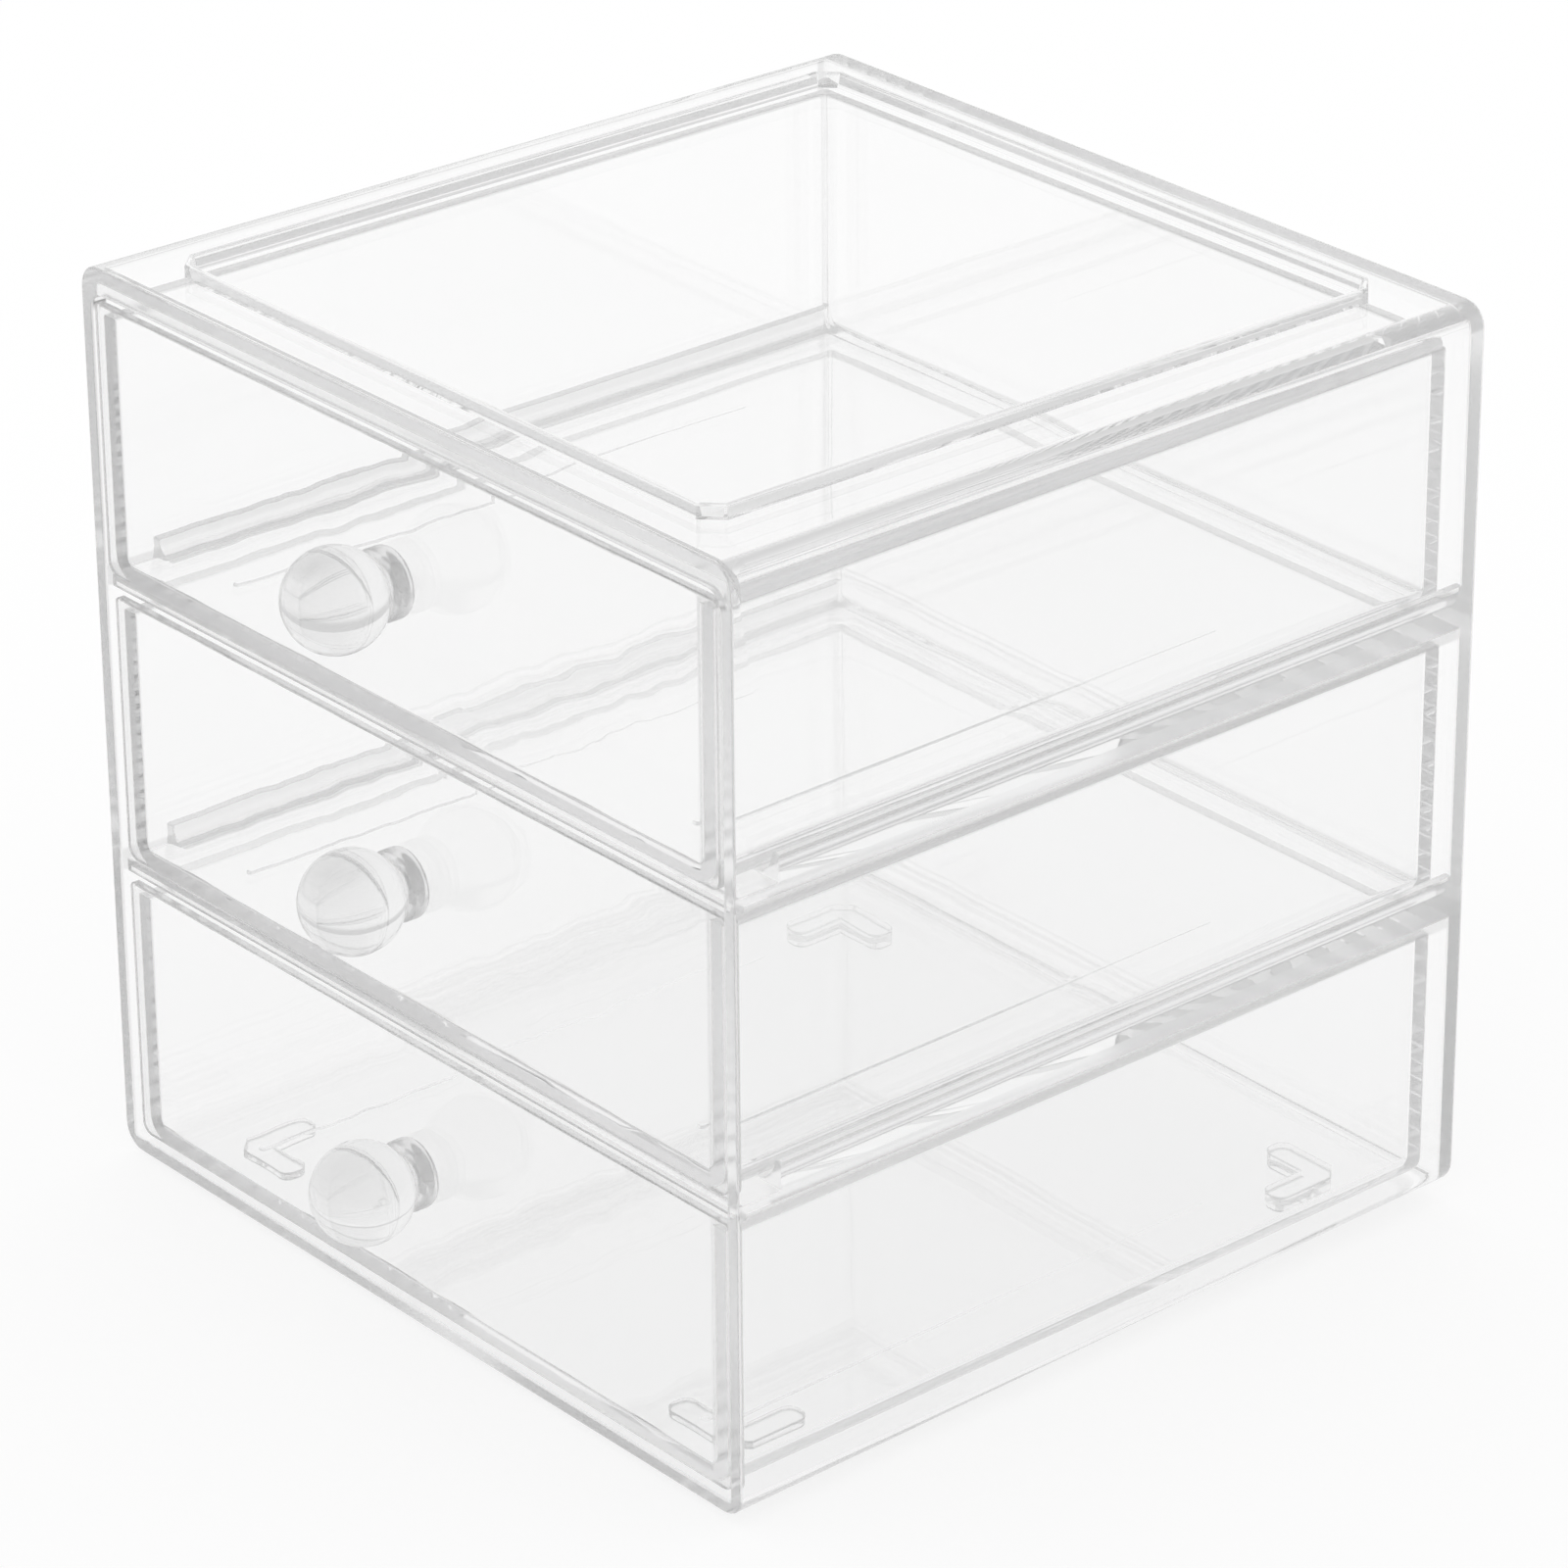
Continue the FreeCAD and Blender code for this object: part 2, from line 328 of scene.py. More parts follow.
def outer_rounding(radius, steps=EDGE_STEPS):
    """Depths from an end, with how far the outline draws in at each, for a rounded end."""
    return [(radius - across, radius - along) for across, along in arc(radius, steps)]


def mouth_rounding(radius, steps=EDGE_STEPS):
    """Depths from a mouth, with how far the opening spreads at each, for a rounded lip."""
    return [(radius - along, radius - across) for across, along in arc(radius, steps, 90.0, 0.0)]


def rounded_outline(left, right, low, high, radii):
    """A rectangle with a radius for each corner: low right, high right, high left, low left."""
    corners = ((right, low), (right, high), (left, high), (left, low))
    inward = ((-1, 1), (-1, -1), (1, -1), (1, 1))
    points = []
    for turn, (corner, way, radius) in enumerate(zip(corners, inward, radii)):
        centre = (corner[0] + way[0] * radius, corner[1] + way[1] * radius)
        for across, along in arc(radius, ARC_STEPS, 90.0 * turn - 90.0, 90.0 * turn):
            points.append((centre[0] + across, centre[1] + along))
    return points


def mesh_from_loops(name, loops, closed=False):
    """Skins matching loops of points in order. The ends are capped unless the loops close."""
    shape = bmesh.new()
    rows = [[shape.verts.new(to_frame(point)) for point in loop] for loop in loops]
    pairs = list(zip(rows, rows[1:]))
    if closed:
        pairs.append((rows[-1], rows[0]))
    else:
        shape.faces.new(rows[0])
        shape.faces.new(rows[-1])
    for near, far in pairs:
        for index in range(len(near)):
            after = (index + 1) % len(near)
            shape.faces.new((near[index], near[after], far[after], far[index]))
    bmesh.ops.recalc_face_normals(shape, faces=shape.faces)
    mesh = bpy.data.meshes.new(name)
    shape.to_mesh(mesh)
    shape.free()
    return mesh


def split_faces(mesh, place, normal):
    """Splits the faces that a plane crosses, so that each side of it can have its own finish."""
    shape = bmesh.new()
    shape.from_mesh(mesh)
    everything = shape.verts[:] + shape.edges[:] + shape.faces[:]
    bmesh.ops.bisect_plane(shape, geom=everything, plane_co=to_frame(place), plane_no=normal)
    shape.to_mesh(mesh)
    shape.free()


def combine(name, base, steps):
    """Cuts meshes from a base mesh, or joins them to it, one after another."""
    scene = bpy.context.scene
    body = bpy.data.objects.new(name, base)
    scene.collection.objects.link(body)
    used = [body]
    for operation, mesh in steps:
        tool = bpy.data.objects.new(mesh.name, mesh)
        scene.collection.objects.link(tool)
        used.append(tool)
        boolean = body.modifiers.new(mesh.name, "BOOLEAN")
        boolean.solver = "EXACT"
        boolean.operation = operation
        boolean.object = tool
    bpy.context.view_layer.update()
    evaluated = body.evaluated_get(bpy.context.evaluated_depsgraph_get())
    made = bpy.data.meshes.new_from_object(evaluated)
    for leftover in used:
        mesh = leftover.data
        bpy.data.objects.remove(leftover)
        bpy.data.meshes.remove(mesh)
    made.name = name
    return made


def finish_faces(mesh, materials, choose):
    """Smooths the mesh and gives each face the material that its place and slope call for."""
    mesh.materials.clear()
    for material in materials:
        mesh.materials.append(material)
    origin = to_frame((0.0, 0.0, 0.0))
    for face in mesh.polygons:
        centre = (face.center - origin) / MM
        face.material_index = choose(centre, face.normal)
        face.use_smooth = True
    mesh.set_sharp_from_angle(angle=SHARP_FROM)


def place_piece(name, mesh, body, node, offset=(0.0, 0.0, 0.0)):
    """Puts a finished mesh in the scene on its body, in place of its CAD node."""
    moved = mesh.copy()
    moved.name = name
    moved.transform(Matrix.Translation(Vector(offset) * MM))
    piece = bpy.data.objects.new(name, moved)
    bpy.context.scene.collection.objects.link(piece)
    normals = piece.modifiers.new("flat_faces_stay_flat", "WEIGHTED_NORMAL")
    normals.weight = 100
    normals.keep_sharp = True
    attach(piece, body)
    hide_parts(node)
    return piece


# ---------------------------------------------------------------- materials

def linear(hex_colour):
    """An sRGB hex colour, as RRGGBB, turned to the linear RGBA that shaders take."""
    def channel(start):
        value = int(hex_colour[start:start + 2], 16) / 255.0
        return value / 12.92 if value <= 0.04045 else ((value + 0.055) / 1.055) ** 2.4

    return channel(0), channel(2), channel(4), 1.0


def add_node(tree, kind, settings=None, inputs=None, links=None):
    """Adds one node. Settings are its properties, inputs its values, links its incoming sockets."""
    node = tree.nodes.new(kind)
    for name, value in (settings or {}).items():
        setattr(node, name, value)
    for name, value in (inputs or {}).items():
        node.inputs[name].default_value = value
    for name, socket in (links or {}).items():
        tree.links.new(socket, node.inputs[name])
    return node


def new_material(name):
    material = bpy.data.materials.new(name)
    material.use_nodes = True
    material.node_tree.nodes.clear()
    return material


ACRYLIC_IOR = 1.49
# The flow waves are broad swells with a little finer movement on them.
WAVE_DETAIL = 1.0
WAVE_FINE_SHARE = 0.4
# Opposite faces take their waves this many wavelengths apart, so that they differ.
WAVES_APART = 3.7


def clear_acrylic(name, settings, roughness, wave_height, wave_length, painted_shade_tint=None):
    """Injection-moulded acrylic: colourless and glossy, with faint flow waves, and a grey tint of painted
    shade.

    The waves bend what is seen through a wall, and differ between its two faces. The long way
    through an edge darkens it a little. Edges are less polished than faces, and show as even
    bands of grey.
    """
    material = new_material(name)
    tree = material.node_tree
    place = add_node(tree, "ShaderNodeTexCoord")
    apart = add_node(
        tree,
        "ShaderNodeVectorMath",
        {"operation": "MULTIPLY_ADD"},
        {1: (WAVES_APART * wave_length * MM,) * 3},
        {0: place.outputs["Normal"], 2: place.outputs["Object"]},
    )
    waves = add_node(
        tree,
        "ShaderNodeTexNoise",
        inputs={
            "Scale": 1.0 / (wave_length * MM),
            "Detail": WAVE_DETAIL,
            "Roughness": WAVE_FINE_SHARE,
        },
        links={"Vector": apart.outputs["Vector"]},
    )
    relief = add_node(
        tree,
        "ShaderNodeBump",
        inputs={"Strength": 1.0, "Distance": wave_height},
        links={"Height": waves.outputs["Fac"]},
    )
    surface = add_node(
        tree,
        "ShaderNodeBsdfPrincipled",
        inputs={
            # The grey tint here is painted shade.
            "Base Color": linear(painted_shade_tint or settings.painted_shade_tint),
            "Roughness": roughness,
            "IOR": ACRYLIC_IOR,
            "Transmission Weight": 1.0,
        },
        links={"Normal": relief.outputs["Normal"]},
    )
    inside = add_node(
        tree,
        "ShaderNodeVolumeAbsorption",
        inputs={"Color": linear("000000"), "Density": settings.absorption},
    )
    add_node(
        tree,
        "ShaderNodeOutputMaterial",
        links={"Surface": surface.outputs["BSDF"], "Volume": inside.outputs["Volume"]},
    )
    return material


# ---------------------------------------------------------------- case

def lean(at_front, at_back, y):
    """A size that changes evenly from the front plane to the back of the case."""
    return at_front + (at_back - at_front) * y / CASE_DEPTH


def outside_half(y):
    return lean(CASE_WIDTH / 2.0, CASE_WIDTH / 2.0 - SIDE_DRAFT, y)


def underside(y):
    return lean(0.0, BOTTOM_DRAFT, y)


def lid(y):
    return lean(CASE_HEIGHT, CASE_HEIGHT - TOP_DRAFT, y)


def bay_half(y):
    return outside_half(y) - lean(SIDE_WALL, SIDE_WALL_AT_BACK, y)


def bay_floor(level, y=0.0):
    return FIRST_FLOOR + level * BAY_PITCH + lean(0.0, FLOOR_RISE, y)


def bay_ceiling(level, y=0.0):
    at_front = TOP_CEILING if level == TOP_LEVEL else bay_floor(level + 1) - SHELF_THICKNESS
    return at_front - lean(0.0, FLOOR_RISE, y)


def mouth_top(level, y=0.0):
    return bay_floor(level) + MOUTH_HEIGHT - lean(0.0, FLOOR_RISE, y)


def ledge_half(y):
    return bay_half(y) - LEDGE_WIDTH


def upright_loop(y, half, low, high, radii):
    return [(x, y, z) for x, z in rounded_outline(-half, half, low, high, radii)]


def shelf_joint(level, y):
    """The heights between which a shelf meets the walls."""
    return bay_ceiling(level - 1, y) - JOINT_MARGIN, bay_floor(level, y) + JOINT_MARGIN


def case_outside(edge, back_edge):
    ends = outer_rounding(edge)
    ends.append((CASE_DEPTH - BACK_WALL - JOINT_MARGIN, 0.0))
    ends += [(CASE_DEPTH - depth, inset) for depth, inset in outer_rounding(back_edge)[::-1]]
    loops = []
    for y, inset in ends:
        half = outside_half(y) - inset
        radii = [CASE_CORNER_RADIUS - inset] * 4
        loops.append(upright_loop(y, half, underside(y) + inset, lid(y) - inset, radii))
    mesh = mesh_from_loops("case_outside", loops)
    for level in range(1, TOP_LEVEL + 1):
        for at_front, at_back in zip(shelf_joint(level, 0.0), shelf_joint(level, CASE_DEPTH)):
            split_faces(mesh, (0.0, 0.0, at_front), (0.0, at_front - at_back, CASE_DEPTH))
    return mesh


def cavity(edge):
    """The whole space inside the case, before the shelves go in."""
    places = [(-OVERCUT, edge)] + mouth_rounding(edge)
    end = CASE_DEPTH - BACK_WALL
    corner = outer_rounding(CAVITY_CORNER_RADIUS)[::-1]
    places += [(end - depth, -inset) for depth, inset in corner]
    loops = []
    for y, spread in places:
        half = bay_half(y) + spread
        low = bay_floor(0, y) - spread
        high = bay_ceiling(TOP_LEVEL, y) + spread
        radii = [max(CAVITY_CORNER_RADIUS + spread, ROOT / 2.0)] * 4
        loops.append(upright_loop(y, half, low, high, radii))
    return mesh_from_loops("cavity", loops)


def shelf(level, edge):
    """The shelf under a bay, rooted in the walls around it, with a lip along its front."""
    back = CASE_DEPTH - BACK_WALL + ROOT
    half = bay_half(0.0) + ROOT

    def floor(y):
        return bay_floor(level, y)

    def lip(y):
        return mouth_top(level - 1, y)

    section = [(back, floor(back))]
    section += [(SHELF_RECESS + depth, floor(0.0) - inset) for depth, inset in outer_rounding(edge)[::-1]]
    section += [(SHELF_RECESS + depth, lip(0.0) + inset) for depth, inset in outer_rounding(edge)]
    section += [(LIP_BACK - depth, lip(0.0) + inset) for depth, inset in outer_rounding(edge)[::-1]]
    section.append((LIP_BACK, bay_ceiling(level - 1, LIP_BACK)))
    section.append((back, bay_ceiling(level - 1, back)))
    return mesh_from_loops("shelf", [[(x, y, z) for y, z in section] for x in (-half, half)])


def lid_lip(edge):
    """The lip that hangs from the lid's front, with the upper mouth's rounded corners."""
    places = outer_rounding(edge)
    places += [(LIP_BACK - depth, inset) for depth, inset in outer_rounding(edge)[::-1]]
    loops = []
    for y, spread in places:
        half = bay_half(y)
        centre = mouth_top(TOP_LEVEL, y) - MOUTH_CORNER_RADIUS
        right = [(half + ROOT, bay_ceiling(TOP_LEVEL, y) + ROOT), (half + ROOT, centre)]
        for across, along in arc(MOUTH_CORNER_RADIUS + spread, ARC_STEPS):
            right.append((half - MOUTH_CORNER_RADIUS + across, centre + along))
        left = [(-x, z) for x, z in right[::-1]]
        loops.append([(x, y, z) for x, z in right + left])
    return mesh_from_loops("lid_lip", loops)


def ledge(level, side, edge):
    """A ledge along a bay's lower side, hollowed to follow the drawer's rounded side."""
    end = CASE_DEPTH - BACK_WALL + ROOT
    low = math.degrees(math.asin((COVE_RADIUS - LEDGE_HEIGHT + edge) / COVE_RADIUS))
    loops = []
    places = [(LEDGE_START + depth, inset) for depth, inset in outer_rounding(edge)]
    places.append((end, 0.0))
    for y, draw in places:
        wall = bay_half(y) + ROOT
        face = ledge_half(y)
        floor = bay_floor(level, y)
        section = [(wall, floor - ROOT), (wall, floor + LEDGE_HEIGHT - draw)]
        for depth, inset in outer_rounding(edge)[::-1]:
            section.append((face + depth + draw, floor + LEDGE_HEIGHT - inset - draw))
        for across, along in arc(COVE_RADIUS + draw, ARC_STEPS, low, 90.0):
            section.append((face - COVE_RADIUS + across, floor + COVE_RADIUS - along))
        section.append((face - COVE_RADIUS, floor - ROOT))
        loops.append([(side * x, y, z) for x, z in section])
    return mesh_from_loops("ledge", loops)


def rib(level, side):
    """A low rail with a rounded top. The two draw together towards the back as the drawer does."""
    floor = bay_floor(level)
    heights = [(floor - ROOT, 0.0)]
    for depth, inset in outer_rounding(RIB_TOP_RADIUS)[::-1]:
        heights.append((floor + RIB_HEIGHT - depth, inset))
    slope = RIB_CONVERGENCE / (RIB_BACK - RIB_FRONT)
    loops = []
    for z, inset in heights:
        half = RIB_WIDTH / 2.0 - inset
        outline = rounded_outline(-half, half, RIB_FRONT + inset, RIB_BACK - inset, [half] * 4)
        loops.append([(side * (RIB_X - slope * (y - RIB_FRONT)) + x, y, z) for x, y in outline])
    return mesh_from_loops("rib", loops)


def rim_loop(inset, height):
    """The rim's outline, drawn in by an inset, at a height above the lid that it follows."""
    half = RIM_HALF_WIDTH - inset
    front = RIM_FRONT + inset
    back = RIM_BACK - inset
    corner = RIM_CORNER - inset * (2.0 - math.sqrt(2.0))
    outline = [
        (-half + corner, front),
        (half - corner, front),
        (half, front + corner),
        (half, back - corner),
        (half - corner, back),
        (-half + corner, back),
        (-half, back - corner),
        (-half, front + corner),
    ]
    return [(x, y, lid(y) + height) for x, y in outline]


def rim_thickness(height):
    return RIM_THICKNESS + (RIM_THICKNESS_AT_TOP - RIM_THICKNESS) * height / RIM_HEIGHT


def stacking_rim(edge):
    """A low frame on the lid, upright outside and drafted inside, with rounded top edges."""
    section = [(0.0, -ROOT)]
    section += [(inset, RIM_HEIGHT - depth) for depth, inset in outer_rounding(edge)[::-1]]
    section += [
        (RIM_THICKNESS_AT_TOP - inset, RIM_HEIGHT - depth) for depth, inset in outer_rounding(edge)
    ]
    section.append((rim_thickness(-ROOT), -ROOT))
    return mesh_from_loops("rim", [rim_loop(*point) for point in section], closed=True)


def case_mesh(settings):
    edge = settings.edge / MM
    steps = [("DIFFERENCE", cavity(edge)), ("UNION", lid_lip(edge))]
    for level in range(1, TOP_LEVEL + 1):
        steps.append(("UNION", shelf(level, edge)))
        steps += [("UNION", ledge(level, side, edge)) for side in (-1, 1)]
    for level in range(TOP_LEVEL + 1):
        steps += [("UNION", rib(level, side)) for side in (-1, 1)]
    steps.append(("UNION", stacking_rim(edge)))
    return combine("case", case_outside(edge, settings.back / MM), steps)


def on_ledge(centre):
    """Whether a face's centre lies on one of the ledges."""
    beside = ledge_half(centre.y) - COVE_RADIUS < abs(centre.x) < bay_half(centre.y) - AIR_FILM
    for level in range(1, TOP_LEVEL + 1):
        height = centre.z - bay_floor(level, centre.y)
        if beside and centre.y > LEDGE_START - ROOT and 0.0 < height < LEDGE_HEIGHT + ROOT:
            return True
    return False


def on_joint(centre):
    """Whether a face's centre lies on a strip of the outer walls that a shelf meets."""
    if centre.y < CASE_DEPTH - ROOT and abs(centre.x) < outside_half(centre.y) - AIR_FILM:
        return False
    heights = [shelf_joint(level, centre.y) for level in range(1, TOP_LEVEL + 1)]
    return any(low < centre.z < high for low, high in heights)


def case_finish(centre, normal):
    """1 for the faces round the mouth, on the ledges, at the shelf joints and round the back, else 0."""
    at_front = centre.y < LIP_BACK + ROOT
    at_back = centre.y > CASE_DEPTH - BACK_WALL - JOINT_MARGIN
    round_back = at_back and abs(normal.y) < FLAT_ON
    return int(at_front or round_back or on_ledge(centre) or on_joint(centre))


class BuildCase(bpy.types.Operator):
    """Builds the clear case with its shelves, ribs and stacking rim"""

    bl_idname = "drawer_cube.case"
    bl_label = "Case"

    def execute(self, context):
        plastic = context.scene.clear_plastic
        waves = (plastic.case_wave, CASE_WAVE_LENGTH)
        mesh = case_mesh(context.scene.edges)
        materials = [
            clear_acrylic("moulded_acrylic_case", plastic, plastic.polish, *waves),
            clear_acrylic("moulded_acrylic_case_edge", plastic, plastic.edge_polish, *waves),
        ]
        finish_faces(mesh, materials, case_finish)
        place_piece("clear_case", mesh, CABINET, "case")
        return {"FINISHED"}


# ---------------------------------------------------------------- drawers

def panel(edge):
    half = PANEL_WIDTH / 2.0
    places = outer_rounding(edge)
    places += [(PANEL_THICKNESS - depth, inset) for depth, inset in outer_rounding(edge)[::-1]]
    loops = []
    for y, inset in places:
        low = PANEL_LOWER_RADIUS - inset
        high = PANEL_UPPER_RADIUS - inset
        loops.append(
            upright_loop(y, half - inset, inset, PANEL_HEIGHT - inset, [low, high, high, low])
        )
    mesh = mesh_from_loops("panel", loops)
    split_faces(mesh, (0.0, 0.0, TRAY_FLOOR), (0.0, 0.0, 1.0))
    for side in (-1, 1):
        split_faces(mesh, (side * PANEL_CLEAR_HALF, 0.0, 0.0), (1.0, 0.0, 0.0))
    return mesh


def drawn_in(radius, height):
    """How far a fillet of this radius draws a wall in at a height above its foot."""
    if height >= radius:
        return 0.0
    return radius - math.sqrt(radius ** 2 - (radius - height) ** 2)


def tray_loop(z, front_half, back_half, front, back, radii):
    """A level outline that narrows towards the back, with a front and a back corner radius."""
    slope = (front_half - back_half) / (back - front)
    front_radius, back_radius = radii
    radii = [front_radius, back_radius, back_radius, front_radius]
    outline = rounded_outline(-1.0, 1.0, front, back, radii)
    points = []
    for x, y in outline:
        half = front_half - slope * (y - front)
        points.append((x + half - 1.0 if x > 0 else x - half + 1.0, y, z))
    return points


def tray_outside(edge):
    lower = outer_rounding(TRAY_LOWER_RADIUS, ARC_STEPS)
    heights = [(depth, drawn_in(TRAY_LOWER_RADIUS, depth)) for depth, _ in lower]
    heights += [(TRAY_HEIGHT - depth, inset) for depth, inset in outer_rounding(edge)[::-1]]
    loops = []
    for z, inset in heights:
        at_back = max(drawn_in(TRAY_BACK_RADIUS, z), inset if z > TRAY_LOWER_RADIUS else 0.0)
        loops.append(
            tray_loop(
                z,
                TRAY_FRONT_WIDTH / 2.0 - inset,
                TRAY_BACK_WIDTH / 2.0 - inset,
                PANEL_THICKNESS / 2.0,
                TRAY_DEPTH - at_back,
                (ROOT / 4.0, TRAY_BACK_RADIUS / 2.0),
            )
        )
    return mesh_from_loops("tray_outside", loops)


def tray_hollow(edge):
    heights = []
    for depth, _ in outer_rounding(HOLLOW_LOWER_RADIUS, ARC_STEPS):
        heights.append((TRAY_FLOOR + depth, 0.0))
    heights += [(TRAY_HEIGHT - depth, spread) for depth, spread in mouth_rounding(edge)[::-1]]
    heights.append((PANEL_HEIGHT + OVERCUT, edge))
    loops = []
    for z, spread in heights:
        above = z - TRAY_FLOOR
        side = spread - drawn_in(HOLLOW_LOWER_RADIUS, above)
        loops.append(
            tray_loop(
                z,
                TRAY_FRONT_WIDTH / 2.0 - TRAY_WALL + side,
                TRAY_BACK_WIDTH / 2.0 - TRAY_WALL_AT_BACK + side,
                PANEL_THICKNESS + drawn_in(HOLLOW_FRONT_RADIUS, above),
                TRAY_DEPTH - TRAY_WALL_AT_BACK + spread - drawn_in(HOLLOW_BACK_RADIUS, above),
                (HOLLOW_CORNER_RADIUS / 2.0, HOLLOW_CORNER_RADIUS),
            )
        )
    return mesh_from_loops("tray_hollow", loops)


def turned_loops(profile):
    """Circles about a line along y, from pairs of radius and y."""
    loops = []
    for radius, y in profile:
        loop = []
        for step in range(TURN_STEPS):
            angle = math.tau * step / TURN_STEPS
            loop.append((radius * math.cos(angle), y, KNOB_LIFT + radius * math.sin(angle)))
        loops.append(loop)
    return loops


def drawer_mesh(settings):
    """One drawer at the case's front plane, with its underside at no height."""
    edge = settings.edge / MM
    hole = turned_loops([(SPIGOT_RADIUS, -OVERCUT), (SPIGOT_RADIUS, PANEL_THICKNESS + OVERCUT)])
    steps = [
        ("UNION", tray_outside(edge)),
        ("DIFFERENCE", tray_hollow(edge)),
        ("DIFFERENCE", mesh_from_loops("spigot_hole", hole)),
    ]
    return combine("drawer", panel(edge), steps)


def drawer_finish(centre, normal):
    """0 for the tray, 2 for the panel's clear faces, 1 round them and along the tray's top."""
    before_walls = abs(centre.x) > PANEL_CLEAR_HALF or centre.z < TRAY_FLOOR
    in_panel = centre.y < PANEL_THICKNESS + HOLLOW_FRONT_RADIUS
    along_top = centre.z > TRAY_HEIGHT - ROOT and normal.z > ON_EDGE
    if in_panel and abs(normal.y) > PANEL_FLAT_ON and not before_walls:
        return 2
    return int(in_panel or along_top)


def drawer_offset(level, place):
    return 0.0, DRAWER_INSET[place], bay_floor(level) + DRAWER_LIFT


class BuildDrawers(bpy.types.Operator):
    """Builds the three clear drawers"""

    bl_idname = "drawer_cube.drawers"
    bl_label = "Drawers"

    def execute(self, context):
        plastic = context.scene.clear_plastic
        tray_waves = (plastic.tray_wave, TRAY_WAVE_LENGTH)
        panel_waves = (plastic.panel_wave, PANEL_WAVE_LENGTH)
        mesh = drawer_mesh(context.scene.edges)
        materials = [
            clear_acrylic("moulded_acrylic_tray", plastic, plastic.polish, *tray_waves),
            clear_acrylic("moulded_acrylic_drawer_edge", plastic, plastic.edge_polish, *tray_waves),
            clear_acrylic("moulded_acrylic_panel", plastic, plastic.polish, *panel_waves),
        ]
        finish_faces(mesh, materials, drawer_finish)
        for level, place in enumerate(PLACES):
            place_piece(
                "clear_drawer_" + place,
                mesh,
                place + "_drawer",
                "drawer_" + place,
                drawer_offset(level, place),
            )
        return {"FINISHED"}


# ---------------------------------------------------------------- knobs

def knob_mesh():
    """A ball on a short round-edged collar, with a spigot that fills the panel's hole."""
    spigot = SPIGOT_RADIUS - AIR_FILM
    meeting = KNOB_REACH - COLLAR_LENGTH
    last_angle = 180.0 - math.degrees(math.acos(meeting / KNOB_RADIUS))
    profile = [(POLE_RADIUS, -KNOB_REACH - KNOB_RADIUS)]
    for across, along in arc(KNOB_RADIUS, BALL_STEPS, POLE_ANGLE, last_angle):
        profile.append((along, -KNOB_REACH - across))
    shoulder = COLLAR_RADIUS - COLLAR_EDGE_RADIUS
    for across, along in arc(COLLAR_EDGE_RADIUS, ARC_STEPS, 90.0, 0.0):
        profile.append((shoulder + across, -COLLAR_LENGTH + COLLAR_EDGE_RADIUS - along))
    for across, along in arc(COLLAR_EDGE_RADIUS, ARC_STEPS):
        profile.append((shoulder + across, -AIR_FILM - COLLAR_EDGE_RADIUS + along))
    profile.append((spigot, -AIR_FILM))
    profile.append((spigot, PANEL_THICKNESS))
    return mesh_from_loops("knob", turned_loops(profile))


def knob_finish(centre, normal):
    """0 for the ball, 1 for the collar and the spigot."""
    return int(centre.y > -COLLAR_LENGTH)


class BuildKnobs(bpy.types.Operator):
    """Builds the three solid clear knobs"""

    bl_idname = "drawer_cube.knobs"
    bl_label = "Knobs"

    def execute(self, context):
        plastic = context.scene.clear_plastic
        waves = (plastic.knob_wave, KNOB_WAVE_LENGTH)
        small = (plastic.small_wave, SMALL_WAVE_LENGTH)
        mesh = knob_mesh()
        # The ball is polished. The collar is left as moulded, and blurs what is seen through it. Both are
        # darkened by painted shade, the ball more.
        materials = [
            clear_acrylic("moulded_acrylic_knob", plastic, plastic.polish, *waves, plastic.knob_painted_shade),
            clear_acrylic(
                "moulded_acrylic_collar", plastic, plastic.edge_polish, *small, plastic.collar_painted_shade
            ),
        ]
        finish_faces(mesh, materials, knob_finish)
        for level, place in enumerate(PLACES):
            place_piece(
                "clear_knob_" + place,
                mesh,
                place + "_drawer",
                "knob_" + place,
                drawer_offset(level, place),
            )
        return {"FINISHED"}


# ---------------------------------------------------------------- feet

def foot_outline(inset):
    """An L with its corner at the origin, drawn in by an inset. Its arm ends are rounded."""
    cut = FOOT_CORNER + inset * (math.sqrt(2.0) - 1.0)
    end = FOOT_ARM - inset
    side = FOOT_WIDTH - inset
    radius = FOOT_END_RADIUS - inset
    points = [(inset, cut), (cut, inset)]
    for across, along in arc(radius, ARC_STEPS, -90.0, 0.0):
        points.append((end - radius + across, inset + radius + along))
    for across, along in arc(radius, ARC_STEPS):
        points.append((end - radius + across, side - radius + along))
    points.append((side, side))
    for across, along in arc(radius, ARC_STEPS):
        points.append((side - radius + across, end - radius + along))
    for across, along in arc(radius, ARC_STEPS, 90.0, 180.0):
        points.append((inset + radius + across, end - radius + along))
    return points


def foot_finish(centre, normal):
    """1 round the pad's lower edge and along its joint with the case, 0 for its flat faces."""
    in_joint = centre.z > underside(centre.y) - FOOT_JOINT and abs(normal.z) < ON_EDGE
    return int(in_joint or ON_EDGE < abs(normal.z) < FLAT_ON)


def foot_mesh(side, end, edge):
    """A pad from the surface that the cube stands on up to the case's sloping underside."""
    corner = FOOT_FRONT if end < 0 else FOOT_BACK
    heights = [(depth - FOOT_HEIGHT, inset) for depth, inset in outer_rounding(edge)]
    loops = []
    for z, inset in heights:
        loops.append([(side * (FOOT_HALF_SPAN - a), corner - end * b, z) for a, b in foot_outline(inset)])
    for depth in (FOOT_JOINT, AIR_FILM):
        loops.append([(x, y, underside(y) - depth) for x, y, _ in loops[-1]])
    return mesh_from_loops("foot", loops)


